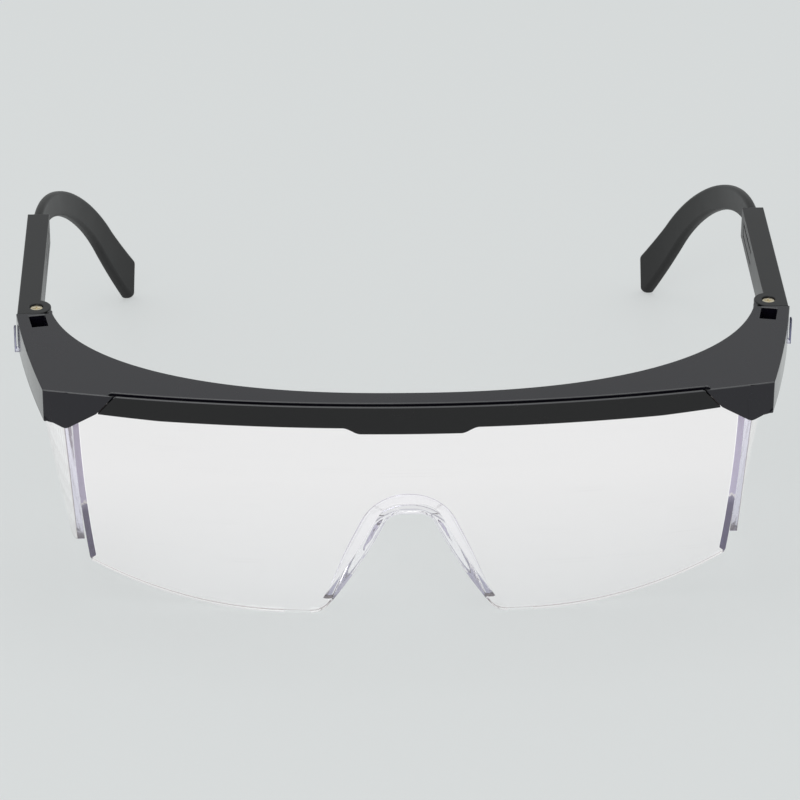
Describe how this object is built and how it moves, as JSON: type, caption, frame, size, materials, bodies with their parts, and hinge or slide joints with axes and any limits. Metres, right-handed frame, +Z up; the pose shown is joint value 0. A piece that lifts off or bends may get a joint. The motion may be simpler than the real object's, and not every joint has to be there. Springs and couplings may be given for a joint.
{
  "type": "safety glasses",
  "caption": "Clear wraparound safety glasses with a dark brow frame, side shields, folding temples and ear pieces that slide to length.",
  "frame": {"origin": "on the table, under the middle of the glasses' bounding box", "axes": "+Z up; the wearer looks along -Y; +X is the wearer's left; the temples run towards +Y"},
  "size_m": [0.159, 0.144, 0.048],
  "materials": {
    "brow_frame": "satin moulded nylon",
    "brow_band": "semi-gloss moulded nylon",
    "lens": "clear polished polycarbonate",
    "side_shield": "clear polished polycarbonate",
    "temple_sleeve": "satin moulded nylon",
    "ear_piece": "satin flexible nylon",
    "screw": "machined",
    "nut": "machined"
  },
  "bodies": {
    "front": {"brow_frame": "brow_frame", "brow_band": "brow_band", "lens": "lens", "side_shield_left": "side_shield", "side_shield_right": "side_shield"},
    "temple_left": {"temple_sleeve_left": "temple_sleeve", "hinge_screw_left": "screw", "hinge_nut_left": "nut"},
    "temple_right": {"temple_sleeve_right": "temple_sleeve", "hinge_screw_right": "screw", "hinge_nut_right": "nut"},
    "ear_left": {"ear_piece_left": "ear_piece"},
    "ear_right": {"ear_piece_right": "ear_piece"}
  },
  "joints": [
    {"name": "fold_left", "type": "hinge", "parent": "front", "child": "temple_left", "pos_m": [0.075, -0.0272, 0.0445], "axis": [0, 0, 1], "range_deg": [0, 90]},
    {"name": "fold_right", "type": "hinge", "parent": "front", "child": "temple_right", "pos_m": [-0.075, -0.0272, 0.0445], "axis": [0, 0, -1], "range_deg": [0, 85]},
    {"name": "slide_left", "type": "slide", "parent": "temple_left", "child": "ear_left", "axis": [0, 1, 0], "range_m": [0, 0.012]},
    {"name": "slide_right", "type": "slide", "parent": "temple_right", "child": "ear_right", "axis": [0, 1, 0], "range_m": [0, 0.012]}
  ]
}
